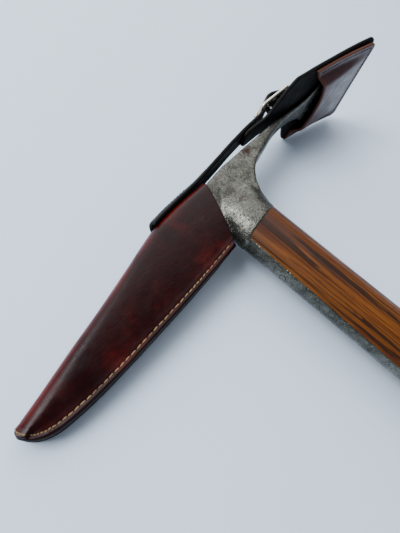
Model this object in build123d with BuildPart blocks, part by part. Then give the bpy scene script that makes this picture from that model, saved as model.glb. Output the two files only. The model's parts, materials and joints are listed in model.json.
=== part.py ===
"""Ice axe with a wooden shaft, a leather pick sheath and a buckled leather adze cover.

Everything is modelled in the axe's own frame and laid on its side at the end:
X runs from the pick (-) to the adze (+), Y up the shaft towards the head and Z across
the axe. The shaft's axis meets the socket's rim at the frame's origin. Millimetres.
"""
from build123d import *
from math import sqrt
import os

os.makedirs("parts", exist_ok=True)

# ---- driving dimensions -------------------------------------------------------------
# Shaft: an oval of straight-grained ash, longer from pick to adze than across.
SHAFT_RX, SHAFT_RZ = 16.7, 12.1
SHAFT_END_RX, SHAFT_END_RZ = 13.6, 10.8
TAPER_START, SHAFT_END = -300.0, -640.0
RIM_Y, RIM_SLOPE = -0.7, 0.12
TENON_TOP, TENON_SHRINK, SOCKET_WALL = 15.0, 2.5, 2.2
FIT_GAP = 0.05

# Langets: two straps of the head's socket, let into the narrow faces of the shaft.
LANGET_END, LANGET_THICK = -152.0, 2.2
LANGET_HALF_TOP, LANGET_HALF_END = 7.2, 3.4
RIVET_YS, RIVET_R = (-31.0, -121.0, -142.0), 2.0

# Head: web above the socket, pick and adze.
HEAD_TOP_PICK, HEAD_TOP, HEAD_TOP_ADZE = 38.8, 40.6, 41.5
WEB_HALF, NECK_HALF = 7.4, 6.4
PICK_TIP = (-153.0, 9.0)
PICK_HALF_SPINE, PICK_HALF_EDGE, TIP_HALF = 5.2, 1.2, 1.6
TOOTH_COUNT, TOOTH_PITCH, TOOTH_DEEP = 6, 7.0, 1.3
ADZE_EDGE_X = 130.0

# Adze cover: both panels follow one arc over the adze, so the cover draws off along it.
ARC_X, ARC_Y, ARC_R = 53.0, -413.0, 456.0
PANEL_THICK, FLAP_THICK, LEATHER_GAP = 2.4, 2.2, 0.05
TONGUE_END, SHOULDER_X, FAR_SHOULDER_X, PANEL_END = 46.0, 86.0, 104.0, 168.0
TONGUE_HALF, PANEL_HALF_NEAR, PANEL_HALF_END = 7.6, 32.5, 35.5
FLAP_START, FLAP_END = 104.0, 166.0
FLAP_HALF_START, FLAP_HALF_END, FLAP_BORDER, POCKET_DEEP = 31.0, 33.5, 5.6, 6.5
MOUTH_DEEP = 12.0

# Pick sheath: one hide folded over the pick's spine and stitched along the other side.
HIDE, SEAM_DEEP, SEAM_HALF, WELT_HALF, WELT_DEEP = 2.2, 6.5, 4.2, 1.95, 4.2
SEAM_END_Y = 9.0
MOUTH_LOW, MOUTH_HIGH = (-19.3, 2.3), (-4.7, 38.6)

# Strap and buckle.
STRAP_HALF, STRAP_THICK = 7.0, 2.5
BAR_R, FRAME_HALF = 1.1, 11.0
BUCKLE_Y, LEFT_BAR_X, MID_BAR_X, RIGHT_BAR_X, CORNER_R = 53.9, 73.5, 89.5, 105.0, 3.0
CHAPE_HALF, CHAPE_THICK, CHAPE_END, PRONG_SLOT_HALF = 6.0, 2.6, 121.0, 1.7
PRONG_R = 0.9
CHAPE_RIVET_XS, CHAPE_RIVET_R, RIVET_HEAD_R, BURR_THICK = (106.5, 116.0), 1.6, 3.1, 0.5

# Stitching: the thread's width and how far it stands out of the leather.
THREAD_WIDE, THREAD_HIGH, STITCH_INSET, COVER_INSET = 0.9, 0.5, 3.4, 3.0

# Ferrule, spike and the shank that a spike guard is pushed onto.
FERRULE_TOP, FERRULE_LOW, FERRULE_WALL = -596.0, -646.0, 1.4
SHANK_R, SHANK_LONG, SPIKE_TIP = 6.0, 16.0, -718.0
TANG_R, TANG_TOP, PIN_R, PIN_Y = 3.0, -606.0, 1.6, -624.0

pieces = []


def finish(piece, name):
    """Names a finished piece and puts it with the others."""
    piece.part.label = name
    pieces.append(piece)


def across(y):
    """A plane square to the shaft at height y, whose own x and y run along X and -Z."""
    return Plane(origin=(0, y, 0), x_dir=(1, 0, 0), z_dir=(0, 1, 0))


def along(x):
    """A plane square to X, whose own x and y run along Y and Z."""
    return Plane.YZ.offset(x)


def arc_y(x, rise=0.0):
    """Height at x of the cover's arc, or of one that lies rise above it."""
    return ARC_Y + sqrt((ARC_R + rise) ** 2 - (x - ARC_X) ** 2)


RIM = Plane(origin=(0, RIM_Y, 0), z_dir=(-RIM_SLOPE, 1, 0))


# ---- shaft --------------------------------------------------------------------------
def oval_prism(low, high, shrink=0.0):
    """An upright stretch of the shaft's oval, shrink smaller all round."""
    with BuildPart() as prism:
        with BuildSketch(across(low)):
            Ellipse(SHAFT_RX - shrink, SHAFT_RZ - shrink)
        extrude(amount=high - low)
    return prism.part


def langet_plan(widen):
    """Both langets' outline as seen from the pick side, cut through the whole shaft."""
    with BuildPart() as plan:
        with BuildSketch(Plane.YZ.offset(-2 * SHAFT_RX)):
            top = LANGET_HALF_TOP + widen
            end = LANGET_HALF_END + widen
            with BuildLine():
                Line((20, -top), (20, top))
                Line((20, top), (LANGET_END, end))
                ThreePointArc((LANGET_END, end), (LANGET_END - end, 0), (LANGET_END, -end))
                Line((LANGET_END, -end), (20, -top))
            make_face()
        extrude(amount=4 * SHAFT_RX)
    return plan.part


with BuildPart() as langets:
    add(oval_prism(LANGET_END - 10, 1))
    add(oval_prism(LANGET_END - 11, 2, LANGET_THICK), mode=Mode.SUBTRACT)
    add(langet_plan(0), mode=Mode.INTERSECT)
    mirror(about=Plane.YZ)

with BuildPart() as langet_seats:
    add(oval_prism(LANGET_END - 10, 2, -1))
    add(oval_prism(LANGET_END - 11, 3, LANGET_THICK + FIT_GAP), mode=Mode.SUBTRACT)
    add(langet_plan(FIT_GAP), mode=Mode.INTERSECT)
    mirror(about=Plane.YZ)

with BuildPart() as shaft:
    with BuildSketch(across(SHAFT_END)):
        Ellipse(SHAFT_END_RX - 3.2, SHAFT_END_RZ - 2.2)
    with BuildSketch(across(FERRULE_TOP)):
        Ellipse(SHAFT_END_RX, SHAFT_END_RZ)
    loft()
    with BuildSketch(across(FERRULE_TOP)):
        Ellipse(SHAFT_END_RX, SHAFT_END_RZ)
    with BuildSketch(across(TAPER_START)):
        Ellipse(SHAFT_RX, SHAFT_RZ)
    loft()
    add(oval_prism(TAPER_START, 6))
    split(bisect_by=RIM, keep=Keep.BOTTOM)
    add(langet_seats.part, mode=Mode.SUBTRACT)
    with BuildSketch(across(-8)):
        Ellipse(SHAFT_RX - SOCKET_WALL - FIT_GAP, SHAFT_RZ - SOCKET_WALL - FIT_GAP)
    with BuildSketch(across(TENON_TOP - FIT_GAP)):
        Ellipse(SHAFT_RX - SOCKET_WALL - TENON_SHRINK, SHAFT_RZ - SOCKET_WALL - TENON_SHRINK)
    loft()
    for y in RIVET_YS:
        with Locations(Location((0, y, 0), (0, 90, 0))):
            Hole(RIVET_R, depth=2 * SHAFT_RX)
    with Locations(Location((0, PIN_Y, 0))):
        Hole(PIN_R, depth=2 * SHAFT_RX)
    with Locations(Location((0, SHAFT_END, 0), (90, 0, 0))):
        Hole(TANG_R, depth=TANG_TOP - SHAFT_END)
finish(shaft, "shaft")


# ---- head: socket, web, pick and adze in one forging ---------------------------------
def socket_body():
    """The socket's outside: an oval at the rim, leaning into the web above it."""
    # height, centre, half length and half thickness of each oval
    sections = (
        (-6.0, 0.0, 17.1, 12.5),
        (3.0, 0.4, 17.0, 12.4),
        (11.0, 2.2, 17.0, 11.4),
        (19.0, 5.0, 17.2, 9.4),
        (34.0, 12.0, 19.0, 7.2),
    )
    with BuildPart() as body:
        for y, centre, rx, rz in sections:
            with BuildSketch(across(y)):
                with Locations((centre, 0)):
                    Ellipse(rx, rz)
        loft()
        split(bisect_by=RIM, keep=Keep.TOP)
    return body.part


def web():
    """The flat cheek between pick and adze, thinner towards the pick."""
    with BuildPart() as cheek:
        with BuildSketch():
            with BuildLine():
                Line((-6, HEAD_TOP_PICK), (12, HEAD_TOP))
                Line((12, HEAD_TOP), (47, HEAD_TOP_ADZE))
                Line((47, HEAD_TOP_ADZE), (47, 31.6))
                ThreePointArc((47, 31.6), (26.5, 23.4), (15.5, 6.0))
                Line((15.5, 6.0), (-16.5, 6.4))
                Line((-16.5, 6.4), (-6, HEAD_TOP_PICK))
            make_face()
        extrude(amount=WEB_HALF, both=True)
    with BuildPart() as taper:
        high = HEAD_TOP_ADZE + 2
        for x, half, low_half in (
            (-18, PICK_HALF_SPINE, PICK_HALF_EDGE),
            (12, WEB_HALF, WEB_HALF),
            (48, NECK_HALF, NECK_HALF),
        ):
            with BuildSketch(along(x)):
                Polygon((high, -half), (high, half), (1, low_half), (1, -low_half), align=None)
        loft(ruled=True)
    return cheek.part & taper.part


def pick():
    """The blade: a drooping wedge, thick at the spine, with teeth near its point."""
    with BuildPart() as blade:
        with BuildSketch():
            with BuildLine():
                ThreePointArc((-6, HEAD_TOP_PICK), (-34, 37.0), (-62, 31.8))
                Line((-62, 31.8), PICK_TIP)
                ThreePointArc(PICK_TIP, (-144, 4.0), (-130, 1.8))
                Line((-130, 1.8), (-14, 6.4))
                Line((-14, 6.4), (-6, HEAD_TOP_PICK))
            make_face()
        extrude(amount=WEB_HALF, both=True)
        for tooth in range(TOOTH_COUNT):
            with BuildSketch():
                with Locations((-126 + tooth * TOOTH_PITCH, 1.3 + 0.04 * tooth * TOOTH_PITCH)):
                    RegularPolygon(TOOTH_DEEP, 3, rotation=90)
            extrude(amount=WEB_HALF, both=True, mode=Mode.SUBTRACT)
    with BuildPart() as wedge:
        for x, spine, edge in ((0, PICK_HALF_SPINE, PICK_HALF_EDGE), (PICK_TIP[0] - 1, TIP_HALF, 0.9)):
            high = HEAD_TOP_PICK + 2 if x == 0 else 16
            with BuildSketch(along(x)):
                Polygon((high, -spine), (high, spine), (1, edge), (1, -edge), align=None)
        loft(ruled=True)
    return blade.part & wedge.part


def adze():
    """The neck, which thins as it leaves the web, and the blade that flares to its edge."""
    # x, half width, top at the middle, top at the side, underside at the middle and side
    stations = (
        (40.0, 6.5, 41.4, 40.9, 30.2, 30.9),
        (50.0, NECK_HALF, 41.9, 41.2, 32.4, 33.0),
        (60.0, 5.8, 42.3, 41.6, 34.9, 35.5),
        (71.0, 5.6, 42.0, 41.7, 37.2, 37.5),
        (84.0, 5.8, 41.2, 41.0, 38.1, 38.3),
        (96.0, 7.0, 39.9, 39.8, 37.7, 37.8),
        (106.0, 10.5, 38.4, 38.3, 36.5, 36.6),
        (114.0, 17.0, 37.3, 37.2, 35.6, 35.7),
        (122.0, 21.4, 36.1, 36.0, 34.8, 34.9),
        (ADZE_EDGE_X, 22.8, 34.9, 34.6, 33.9, 33.8),
    )
    with BuildPart() as blade:
        for x, half, top, top_side, low, low_side in stations:
            with BuildSketch(along(x)):
                with BuildLine():
                    ThreePointArc((top_side, -half), (top, 0), (top_side, half))
                    Line((top_side, half), (low_side, half))
                    ThreePointArc((low_side, half), (low, 0), (low_side, -half))
                    Line((low_side, -half), (top_side, -half))
                make_face()
        loft()
    return blade.part


with BuildPart() as head:
    add(socket_body())
    add(web())
    add(pick())
    add(adze())
    add(langets.part)
    with BuildSketch(across(-8)):
        Ellipse(SHAFT_RX - SOCKET_WALL, SHAFT_RZ - SOCKET_WALL)
    with BuildSketch(across(TENON_TOP)):
        shrink = SOCKET_WALL + TENON_SHRINK - FIT_GAP
        Ellipse(SHAFT_RX - shrink, SHAFT_RZ - shrink)
    loft(mode=Mode.SUBTRACT)
    for y in RIVET_YS:
        with Locations(Location((0, y, 0), (0, 90, 0))):
            Hole(RIVET_R, depth=2 * SHAFT_RX)
finish(head, "head")

with BuildPart() as langet_rivets:
    for y in RIVET_YS:
        with Locations(Location((0, y, 0), (0, 90, 0))):
            Cylinder(RIVET_R, 2 * SHAFT_RX)
    add(oval_prism(LANGET_END - 10, 0), mode=Mode.INTERSECT)
finish(langet_rivets, "langet_rivets")


# ---- ferrule and spike ----------------------------------------------------------------
with BuildPart() as ferrule:
    with BuildSketch(across(FERRULE_LOW)):
        Ellipse(SHAFT_END_RX - 3.4 + FERRULE_WALL, SHAFT_END_RZ - 2.4 + FERRULE_WALL)
    with BuildSketch(across(FERRULE_TOP)):
        Ellipse(SHAFT_END_RX + FERRULE_WALL, SHAFT_END_RZ + FERRULE_WALL)
    loft()
    with BuildSketch(across(SHAFT_END)):
        Ellipse(SHAFT_END_RX - 3.2 + FIT_GAP, SHAFT_END_RZ - 2.2 + FIT_GAP)
    with BuildSketch(across(FERRULE_TOP)):
        Ellipse(SHAFT_END_RX + FIT_GAP, SHAFT_END_RZ + FIT_GAP)
    loft(mode=Mode.SUBTRACT)
    with Locations(Location((0, SHAFT_END, 0), (90, 0, 0))):
        Hole(TANG_R, depth=20)
    with Locations(Location((0, PIN_Y, 0))):
        Hole(PIN_R, depth=2 * SHAFT_RX)
finish(ferrule, "ferrule")

with BuildPart() as spike:
    with Locations(Location((0, TANG_TOP, 0), (90, 0, 0))):
        Cylinder(TANG_R, TANG_TOP - FERRULE_LOW, align=(Align.CENTER, Align.CENTER, Align.MIN))
    with Locations(Location((0, FERRULE_LOW, 0), (90, 0, 0))):
        Cylinder(SHANK_R, SHANK_LONG, align=(Align.CENTER, Align.CENTER, Align.MIN))
    with Locations(Location((0, FERRULE_LOW - SHANK_LONG, 0), (90, 0, 0))):
        cone_long = FERRULE_LOW - SHANK_LONG - SPIKE_TIP
        Cone(SHANK_R, 0.6, cone_long, align=(Align.CENTER, Align.CENTER, Align.MIN))
    with Locations(Location((0, PIN_Y, 0))):
        Hole(PIN_R, depth=2 * SHAFT_RX)
finish(spike, "spike")

with BuildPart() as ferrule_pin:
    with Locations(Location((0, PIN_Y, 0))):
        Cylinder(PIN_R, 2 * (SHAFT_END_RZ + 0.5))
finish(ferrule_pin, "ferrule_pin")


# ---- pick sheath ------------------------------------------------------------------------
# x, spine, lower edge and half thickness of the sheath's outside, from the mouth to the tip
SHEATH_STATIONS = (
    (6.0, 41.9, 1.6, 9.2),
    (-32.0, 41.4, -0.6, 8.6),
    (-62.0, 36.2, -2.4, 8.0),
    (-100.0, 26.6, -3.9, 7.2),
    (-134.0, 18.4, -4.2, 6.4),
    (-166.0, 11.2, -4.4, 5.6),
)


def sheath_loft(hide=0.0, seam_half=SEAM_HALF, open_low=0.0):
    """The sheath's block, or with a hide's thickness taken off, the space inside it."""
    with BuildPart() as block:
        for x, spine, low, half in SHEATH_STATIONS:
            with BuildSketch(along(x)) as section:
                Polygon(
                    (low - open_low, -seam_half),
                    (low - open_low, seam_half),
                    (low + SEAM_DEEP, seam_half),
                    (spine - hide, half - hide),
                    (spine - hide, hide - half),
                    (low + SEAM_DEEP, -seam_half),
                    align=None,
                )
                fillet(section.vertices().group_by(Axis.Y)[-1], radius=5.2 - hide)
        loft()
    return block.part


def sheath_side(inset=0.0):
    """The sheath as seen from the side, as a slab whose lower edge and tip are inset."""
    with BuildPart() as slab:
        with BuildSketch():
            with BuildLine():
                ThreePointArc((8, 1.6 + inset), (-62, -2.4 + inset), (-134, -4.2 + inset))
                ThreePointArc(
                    (-134, -4.2 + inset), (-151.5 + 0.6 * inset, -1.2 + 0.8 * inset), (-160.5 + inset, 6.6)
                )
                ThreePointArc((-160.5 + inset, 6.6), (-162.2 + inset, 9.8), (-159.0 + inset, 13.2))
                Line((-159.0 + inset, 13.2), (-159.0 + inset, 60))
                Line((-159.0 + inset, 60), (8, 60))
                Line((8, 60), (8, 1.6 + inset))
            make_face()
        extrude(amount=20, both=True)
    return slab.part


MOUTH = Plane(
    origin=(*MOUTH_LOW, 0),
    z_dir=(MOUTH_HIGH[1] - MOUTH_LOW[1], MOUTH_LOW[0] - MOUTH_HIGH[0], 0),
)

with BuildPart() as sheath_leather:
    add(sheath_loft())
    add(sheath_side(), mode=Mode.INTERSECT)
    add(sheath_loft(HIDE, SEAM_HALF - HIDE, open_low=3), mode=Mode.SUBTRACT)
    split(bisect_by=MOUTH, keep=Keep.BOTTOM)
finish(sheath_leather, "sheath_leather")

with BuildPart() as sheath_welt:
    add(sheath_loft(HIDE + FIT_GAP, WELT_HALF, open_low=3))
    add(sheath_side(), mode=Mode.INTERSECT)
    add(sheath_side(WELT_DEEP), mode=Mode.SUBTRACT)
    split(bisect_by=MOUTH, keep=Keep.BOTTOM)
finish(sheath_welt, "sheath_welt")

with BuildPart() as sheath_stitching:
    add(sheath_loft(-THREAD_HIGH, SEAM_HALF + THREAD_HIGH))
    add(sheath_loft(), mode=Mode.SUBTRACT)
    add(sheath_side(STITCH_INSET - THREAD_WIDE), mode=Mode.INTERSECT)
    add(sheath_side(STITCH_INSET), mode=Mode.SUBTRACT)
    split(bisect_by=MOUTH.offset(-2), keep=Keep.BOTTOM)
    split(bisect_by=Plane(origin=(0, SEAM_END_Y, 0), z_dir=(0, 1, 0)), keep=Keep.BOTTOM)
finish(sheath_stitching, "sheath_stitching")


# ---- strap: sewn along the sheath's spine and arched over the head into the buckle ------
def strap_line(lift):
    """The strap's route, lift above its underside, from its square end to its tip."""
    return (
        (-46.5, 40.8 + lift),
        (-30.0, 42.3 + lift),
        (-8.0, 42.9 + lift),
        (32.0, 47.0 + lift),
        (73.5, 50.0 + lift),
        (89.5, 56.6 + lift),
        (105.0, 50.0 + lift),
        (128.0, 43.6 + lift),
    )


with BuildPart() as strap:
    with BuildSketch():
        with BuildLine():
            low = Spline(strap_line(0), tangents=((1, 0.12), (1, -0.2)))
            high = Spline(strap_line(STRAP_THICK), tangents=((1, 0.12), (1, -0.2)))
            Line(low @ 0, high @ 0)
            Line(low @ 1, high @ 1)
        make_face()
    extrude(amount=STRAP_HALF, both=True)
    with BuildSketch(across(30)):
        with Locations((83.2, 0)):
            SlotOverall(12, 2 * PRONG_R + 1.4)
    extrude(amount=40, mode=Mode.SUBTRACT)
finish(strap, "strap")

with BuildPart() as strap_stitching:
    with BuildSketch():
        with BuildLine():
            low = Spline(strap_line(STRAP_THICK), tangents=((1, 0.12), (1, -0.2)))
            high = Spline(strap_line(STRAP_THICK + THREAD_HIGH), tangents=((1, 0.12), (1, -0.2)))
            Line(low @ 0, high @ 0)
            Line(low @ 1, high @ 1)
        make_face()
    extrude(amount=STRAP_HALF, both=True)
    with BuildSketch(across(30)) as box_seam:
        with Locations((-30, 0)):
            Rectangle(28, 2 * STRAP_HALF - 4)
            Rectangle(28 - 2 * THREAD_WIDE, 2 * STRAP_HALF - 4 - 2 * THREAD_WIDE, mode=Mode.SUBTRACT)
    extrude(amount=40, mode=Mode.INTERSECT)
finish(strap_stitching, "strap_stitching")


# ---- adze cover -------------------------------------------------------------------------
def arc_sheet(low, high, start, end):
    """A wide sheet along the cover's arc, from low to high above it."""
    middle = (start + end) / 2
    with BuildPart() as sheet:
        with BuildSketch():
            with BuildLine():
                ThreePointArc(*((x, arc_y(x, low)) for x in (start, middle, end)))
                Line((end, arc_y(end, low)), (end, arc_y(end, high)))
                ThreePointArc(*((x, arc_y(x, high)) for x in (end, middle, start)))
                Line((start, arc_y(start, high)), (start, arc_y(start, low)))
            make_face()
        extrude(amount=60, both=True)
    return sheet.part


def flap_half(x):
    """The flap's half width at x."""
    return FLAP_HALF_START + (FLAP_HALF_END - FLAP_HALF_START) * (x - FLAP_START) / (FLAP_END - FLAP_START)


def flap_depth(x):
    """How far the flap bulges away from the panel at x, to hold the adze."""
    return POCKET_DEEP * max(0.003, 1 - ((x - FLAP_START) / (FLAP_END - FLAP_START - 4)) ** 2)


def tray(grow=0.0):
    """The hollow that the flap's bulge makes for the adze, or grown, the bulge's outside."""
    with BuildPart() as block:
        for x in (FLAP_START - 3, 112, 120, 128, 136, 144, 151, 157, FLAP_END - 4, FLAP_END + 1):
            half = flap_half(x) - FLAP_BORDER + grow
            top = arc_y(x) + 1
            depth = flap_depth(x) + grow
            with BuildSketch(along(x)):
                with BuildLine():
                    Line((top, -half), (top, half))
                    Line((top, half), (top - 1 - 0.8 * depth, half - 3.6))
                    ThreePointArc(
                        (top - 1 - 0.8 * depth, half - 3.6),
                        (top - 1 - depth, 0),
                        (top - 1 - 0.8 * depth, 3.6 - half),
                    )
                    Line((top - 1 - 0.8 * depth, 3.6 - half), (top, -half))
                make_face()
        loft(ruled=True)
    return block.part


def flap_plan(inset=0.0):
    """The flap's outline from above, with its hollowed mouth, as an upright block."""
    start, end = flap_half(FLAP_START) - inset, flap_half(FLAP_END) - inset
    with BuildPart() as plan:
        with BuildSketch(across(0)) as outline:
            with BuildLine():
                ThreePointArc((FLAP_START, start), (FLAP_START + MOUTH_DEEP, 0), (FLAP_START, -start))
                Line((FLAP_START, -start), (FLAP_END - inset, -end))
                Line((FLAP_END - inset, -end), (FLAP_END - inset, end))
                Line((FLAP_END - inset, end), (FLAP_START, start))
            make_face()
            fillet(outline.vertices().group_by(Axis.X)[-1], radius=3)
        extrude(amount=60)
    return plan.part


def rivet_planes():
    """Planes on the panel's arc at the chape's rivets, square to the leather."""
    for x in CHAPE_RIVET_XS:
        yield Plane(origin=(x, arc_y(x), 0), z_dir=(x - ARC_X, arc_y(x) - ARC_Y, 0))


with BuildPart() as cover_panel:
    add(arc_sheet(0, PANEL_THICK, TONGUE_END - 6, PANEL_END + 6))
    with BuildSketch(across(0)) as panel_outline:
        Polygon(
            (TONGUE_END, TONGUE_HALF),
            (FAR_SHOULDER_X - 13, TONGUE_HALF),
            (FAR_SHOULDER_X, PANEL_HALF_NEAR + 1),
            (PANEL_END, PANEL_HALF_END),
            (PANEL_END, -PANEL_HALF_END),
            (SHOULDER_X, -PANEL_HALF_NEAR),
            (SHOULDER_X - 18, -TONGUE_HALF),
            (TONGUE_END, -TONGUE_HALF),
            align=None,
        )
        fillet(panel_outline.vertices(), radius=5)
    extrude(amount=60, mode=Mode.INTERSECT)
    for seat in rivet_planes():
        with Locations(seat):
            Cylinder(CHAPE_RIVET_R, 30, mode=Mode.SUBTRACT)
finish(cover_panel, "cover_panel")

with BuildPart() as cover_flap:
    add(arc_sheet(-LEATHER_GAP - FLAP_THICK, -LEATHER_GAP, FLAP_START - 6, FLAP_END + 8))
    add(tray(FLAP_THICK))
    add(arc_sheet(-20, -LEATHER_GAP, FLAP_START - 8, FLAP_END + 10), mode=Mode.INTERSECT)
    add(tray(), mode=Mode.SUBTRACT)
    add(flap_plan(), mode=Mode.INTERSECT)
finish(cover_flap, "cover_flap")

with BuildPart() as cover_stitching:
    under = -LEATHER_GAP - FLAP_THICK
    add(arc_sheet(under - THREAD_HIGH, under, FLAP_START + 2, FLAP_END))
    add(arc_sheet(PANEL_THICK, PANEL_THICK + THREAD_HIGH, FLAP_START + 2, FLAP_END))
    add(flap_plan(COVER_INSET - THREAD_WIDE), mode=Mode.INTERSECT)
    add(flap_plan(COVER_INSET) + flap_plan(COVER_INSET).moved(Location((-4, 0, 0))), mode=Mode.SUBTRACT)
finish(cover_stitching, "cover_stitching")


# ---- chape, buckle and rivets -------------------------------------------------------------
MID_BAR = Plane(origin=(MID_BAR_X, BUCKLE_Y, 0))
CHAPE_LOW = PANEL_THICK + LEATHER_GAP
CHAPE_HIGH = CHAPE_LOW + CHAPE_THICK

with BuildPart() as chape:
    with BuildSketch():
        with BuildLine():
            foot = 99.0
            ThreePointArc(*((x, arc_y(x, CHAPE_LOW)) for x in (foot, 110.0, CHAPE_END)))
            Line((CHAPE_END, arc_y(CHAPE_END, CHAPE_LOW)), (CHAPE_END, arc_y(CHAPE_END, CHAPE_HIGH)))
            ThreePointArc(*((x, arc_y(x, CHAPE_HIGH)) for x in (CHAPE_END, 112.0, foot + 3)))
            Line((foot + 3, arc_y(foot + 3, CHAPE_HIGH)), (MID_BAR_X + 2.1, BUCKLE_Y + 1.0))
            Line((MID_BAR_X + 2.1, BUCKLE_Y + 1.0), (MID_BAR_X - 1.6, BUCKLE_Y - 1.6))
            Line((MID_BAR_X - 1.6, BUCKLE_Y - 1.6), (foot, arc_y(foot, CHAPE_LOW)))
        make_face()
        with Locations((MID_BAR_X, BUCKLE_Y)):
            Circle(BAR_R + 1.3)
            Circle(BAR_R + 0.15, mode=Mode.SUBTRACT)
    extrude(amount=CHAPE_HALF, both=True)
    with Locations(MID_BAR):
        Cylinder(3.4, 2 * PRONG_SLOT_HALF, mode=Mode.SUBTRACT)
    for seat in rivet_planes():
        with Locations(seat):
            Cylinder(CHAPE_RIVET_R, 30, mode=Mode.SUBTRACT)
finish(chape, "chape")


with BuildPart() as chape_rivets:
    for seat in rivet_planes():
        with Locations(seat.offset(-BURR_THICK - 0.3)):
            shank = BURR_THICK + 0.3 + CHAPE_HIGH
            Cylinder(CHAPE_RIVET_R, shank, align=(Align.CENTER, Align.CENTER, Align.MIN))
        with Locations(seat.offset(CHAPE_HIGH)):
            Cone(RIVET_HEAD_R, 0.5 * RIVET_HEAD_R, 1.0, align=(Align.CENTER, Align.CENTER, Align.MIN))
finish(chape_rivets, "chape_rivets")

with BuildPart() as rivet_burrs:
    for seat in rivet_planes():
        with Locations(seat.offset(-BURR_THICK / 2 - 0.02)):
            Cylinder(RIVET_HEAD_R - 0.3, BURR_THICK)
            Hole(CHAPE_RIVET_R, depth=BURR_THICK)
finish(rivet_burrs, "rivet_burrs")

with BuildSketch(across(BUCKLE_Y)) as buckle_outline:
    with Locations(((LEFT_BAR_X + RIGHT_BAR_X) / 2, 0)):
        RectangleRounded(RIGHT_BAR_X - LEFT_BAR_X, 2 * (FRAME_HALF - BAR_R), CORNER_R)

with BuildPart() as buckle_frame:
    wire_path = buckle_outline.sketch.wires()[0]
    with BuildSketch(Plane(origin=wire_path @ 0, z_dir=wire_path % 0)):
        Circle(BAR_R)
    sweep(path=wire_path)
    with Locations(MID_BAR):
        Cylinder(BAR_R, 2 * (FRAME_HALF - BAR_R))
finish(buckle_frame, "buckle_frame")

with BuildPart() as buckle_prong:
    with BuildLine() as prong_path:
        FilletPolyline(
            (MID_BAR_X - 1.2, BUCKLE_Y + 1.5, 0),
            (MID_BAR_X - 5.5, BUCKLE_Y + 5.0, 0),
            (LEFT_BAR_X, BUCKLE_Y + BAR_R + PRONG_R + 0.1, 0),
            (LEFT_BAR_X - 3.2, BUCKLE_Y + BAR_R + 0.1, 0),
            radius=2.5,
        )
    with BuildSketch(Plane(origin=prong_path.line @ 0, z_dir=prong_path.line % 0)):
        Circle(PRONG_R)
    sweep()
    with BuildSketch(Plane.XY.offset(-PRONG_R)):
        with Locations((MID_BAR_X, BUCKLE_Y)):
            Circle(BAR_R + 1.2)
    extrude(amount=2 * PRONG_R)
    with Locations(MID_BAR):
        Cylinder(BAR_R + 0.1, 4 * PRONG_R, mode=Mode.SUBTRACT)
finish(buckle_prong, "buckle_prong")


# ---- laid on its side -----------------------------------------------------------------------
# The table touches the cover's corner, the sheath near its tip and the ferrule's upper edge.
corner = Vector(106.29, 39.88, -33.55)
tip = Vector(-161.05, 12.27, -5.7)
collar = Vector(-2.41, FERRULE_TOP, -12.04)
table = Plane(origin=collar, x_dir=(1, 0, 0), z_dir=(corner - collar).cross(tip - collar))
onto_table = table.location.inverse()
box = Compound([piece.part.moved(onto_table) for piece in pieces]).bounding_box()
LAY = Location((-box.center().X, -box.center().Y, -box.min.Z)) * onto_table

for piece in pieces:
    export_step(piece.part.moved(LAY), f"parts/{piece.part.label}.step")
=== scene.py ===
"""Looks for the ice axe: detailed leather, thread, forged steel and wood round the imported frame.

Shapes are written in the axe's own millimetres: X from pick to adze, Y up the shaft and Z
across it, with the origin where the shaft's axis meets the socket's rim. AXE puts them into
the frame. It comes from the record's mount on the spike and its buckle joint.
"""
import json
import math

import bpy
from mathutils import Matrix, Vector, noise


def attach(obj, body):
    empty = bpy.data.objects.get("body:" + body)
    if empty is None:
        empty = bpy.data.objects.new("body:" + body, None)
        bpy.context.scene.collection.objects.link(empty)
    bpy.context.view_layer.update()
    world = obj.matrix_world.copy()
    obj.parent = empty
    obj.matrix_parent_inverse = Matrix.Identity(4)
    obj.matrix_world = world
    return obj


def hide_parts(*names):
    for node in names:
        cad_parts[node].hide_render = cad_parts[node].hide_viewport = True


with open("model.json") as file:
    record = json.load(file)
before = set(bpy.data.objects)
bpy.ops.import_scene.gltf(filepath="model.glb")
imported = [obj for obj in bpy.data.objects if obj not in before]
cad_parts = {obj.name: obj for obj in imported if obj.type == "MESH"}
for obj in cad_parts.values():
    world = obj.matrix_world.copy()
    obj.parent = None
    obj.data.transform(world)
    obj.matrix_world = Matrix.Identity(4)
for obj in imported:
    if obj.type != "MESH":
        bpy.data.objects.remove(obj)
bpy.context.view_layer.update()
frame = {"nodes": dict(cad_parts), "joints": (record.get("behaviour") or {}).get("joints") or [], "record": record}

mount = next(m for m in frame["record"]["mounts"] if m["name"] == "spike_shank")
swing = next(j for j in frame["joints"] if j["name"] == "buckle_swing")
UP = -Vector(mount["axis"]).normalized()
OUT = Vector(swing["axis"]).normalized()
SIDE = UP.cross(OUT).normalized()
SHANK_BELOW_RIM = 0.654  # metres
ORIGIN = Vector(mount["pos_m"]) + SHANK_BELOW_RIM * UP
TURN = Matrix((SIDE, UP, OUT)).transposed()
AXE = Matrix.Translation(ORIGIN) @ TURN.to_4x4() @ Matrix.Scale(0.001, 4)
BACK = AXE.inverted()


# ---- shapes -------------------------------------------------------------------------------
def curve(points, t):
    """A smooth curve through the points, with t from 0 to 1."""
    n = len(points) - 1
    s = min(max(t, 0.0), 1.0) * n
    i = min(int(s), n - 1)
    f = s - i
    p1, p2 = points[i], points[i + 1]
    p0 = points[i - 1] if i else [2 * a - b for a, b in zip(p1, p2)]
    p3 = points[i + 2] if i + 2 <= n else [2 * b - a for a, b in zip(p1, p2)]
    place = []
    for a, b, c, d in zip(p0, p1, p2, p3):
        bend = (2 * a - 5 * b + 4 * c - d) * f * f + (3 * b - a - 3 * c + d) * f**3
        place.append(0.5 * (2 * b + (c - a) * f + bend))
    return place


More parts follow.
